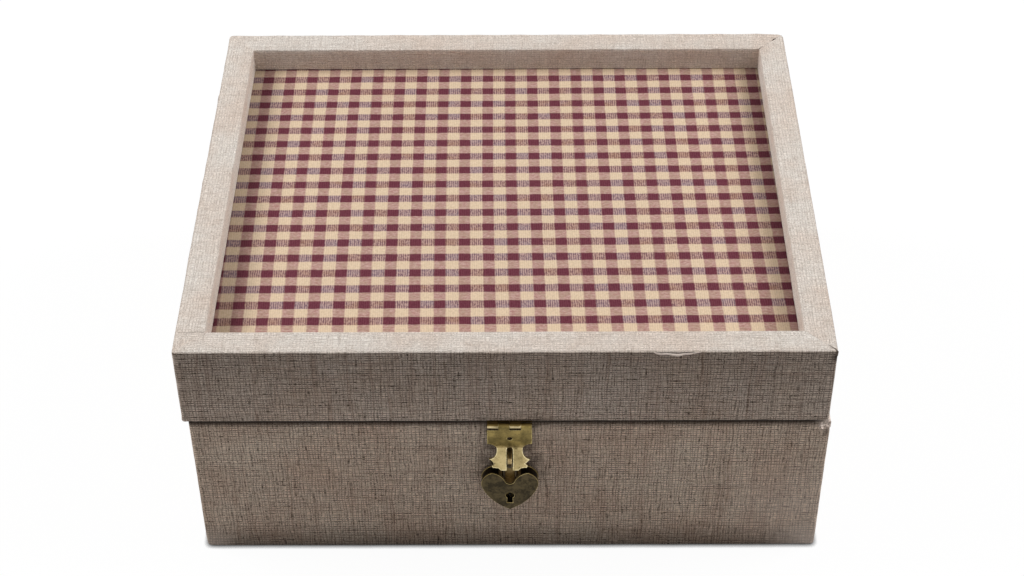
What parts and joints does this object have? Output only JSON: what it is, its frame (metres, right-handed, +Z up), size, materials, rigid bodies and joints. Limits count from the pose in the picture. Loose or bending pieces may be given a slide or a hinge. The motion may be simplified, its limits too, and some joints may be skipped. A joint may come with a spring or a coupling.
{
  "type": "photo storage box",
  "caption": "Cloth-covered keepsake box for photo prints: linen sides, a raised frame round a gingham lid panel, a hinged lid and a hasp with a heart-shaped padlock.",
  "frame": {"origin": "centre of the underside of the box, on the surface it stands on", "axes": "+Z up, -Y towards the hasp and padlock at the front, +X to the right seen from the front"},
  "size_m": [0.3062, 0.2678, 0.133],
  "materials": {
    "board": "matte",
    "linen": "matte",
    "gingham": "matte",
    "lining_card": "matte",
    "base_paper": "matte",
    "hinge_brass": "satin",
    "hasp_brass": "satin",
    "lock_brass": "satin",
    "steel": "satin"
  },
  "bodies": {
    "box_body": {"base_board": "board", "base_paper": "base_paper", "front_wall": "board", "back_wall": "board", "left_wall": "board", "right_wall": "board", "body_cloth": "linen", "base_lining": "lining_card", "front_lining": "lining_card", "back_lining": "lining_card", "left_lining": "lining_card", "right_lining": "lining_card", "left_hinge_body_leaf": "hinge_brass", "right_hinge_body_leaf": "hinge_brass", "left_hinge_pin": "steel", "right_hinge_pin": "steel", "hinge_body_screws": "hinge_brass", "staple_plate": "hasp_brass", "staple_loop": "hasp_brass", "staple_nails": "hasp_brass"},
    "lid": {"lid_front_wall": "board", "lid_back_wall": "board", "lid_left_wall": "board", "lid_right_wall": "board", "lid_panel": "board", "gingham_cloth": "gingham", "frame_front_rail": "board", "frame_back_rail": "board", "frame_left_rail": "board", "frame_right_rail": "board", "lid_front_cloth": "linen", "lid_back_cloth": "linen", "lid_left_cloth": "linen", "lid_right_cloth": "linen", "lid_panel_lining": "lining_card", "lid_front_lining": "lining_card", "lid_back_lining": "lining_card", "lid_left_lining": "lining_card", "lid_right_lining": "lining_card", "left_hinge_lid_leaf": "hinge_brass", "right_hinge_lid_leaf": "hinge_brass", "hinge_lid_screws": "hinge_brass", "hasp_lid_leaf": "hasp_brass", "hasp_pin": "steel", "hasp_screws": "hasp_brass"},
    "hasp": {"hasp_leaf": "hasp_brass"},
    "shackle": {"lock_shackle": "steel"},
    "lock_case": {"lock_front_plate": "lock_brass", "lock_back_plate": "lock_brass", "lock_case_band": "lock_brass", "lock_case_rivets": "steel", "lock_heel_guide": "steel", "lock_key_post": "steel", "lock_bolt_pins": "steel", "lock_bolt_spring": "steel"},
    "lock_bolt": {"lock_bolt": "steel"}
  },
  "joints": [
    {"name": "lid_hinge", "type": "hinge", "parent": "box_body", "child": "lid", "pos_m": [0, 0.1296, 0.088], "axis": [-1, 0, 0], "range_deg": [0, 105]},
    {"name": "hasp_hinge", "type": "hinge", "parent": "lid", "child": "hasp", "pos_m": [0, -0.12975, 0.087], "axis": [-1, 0, 0], "range_deg": [0, 165]},
    {"name": "lock_swing", "type": "hinge", "parent": "box_body", "child": "shackle", "pos_m": [0, -0.13195, 0.06223], "axis": [0, -1, 0], "range_deg": [-15, 15]},
    {"name": "lock_case_drop", "type": "slide", "parent": "shackle", "child": "lock_case", "axis": [0, 0, -1], "range_m": [0, 0.0045]},
    {"name": "lock_bolt_slide", "type": "slide", "parent": "lock_case", "child": "lock_bolt", "axis": [-1, 0, 0], "range_m": [0, 0.0009]}
  ]
}
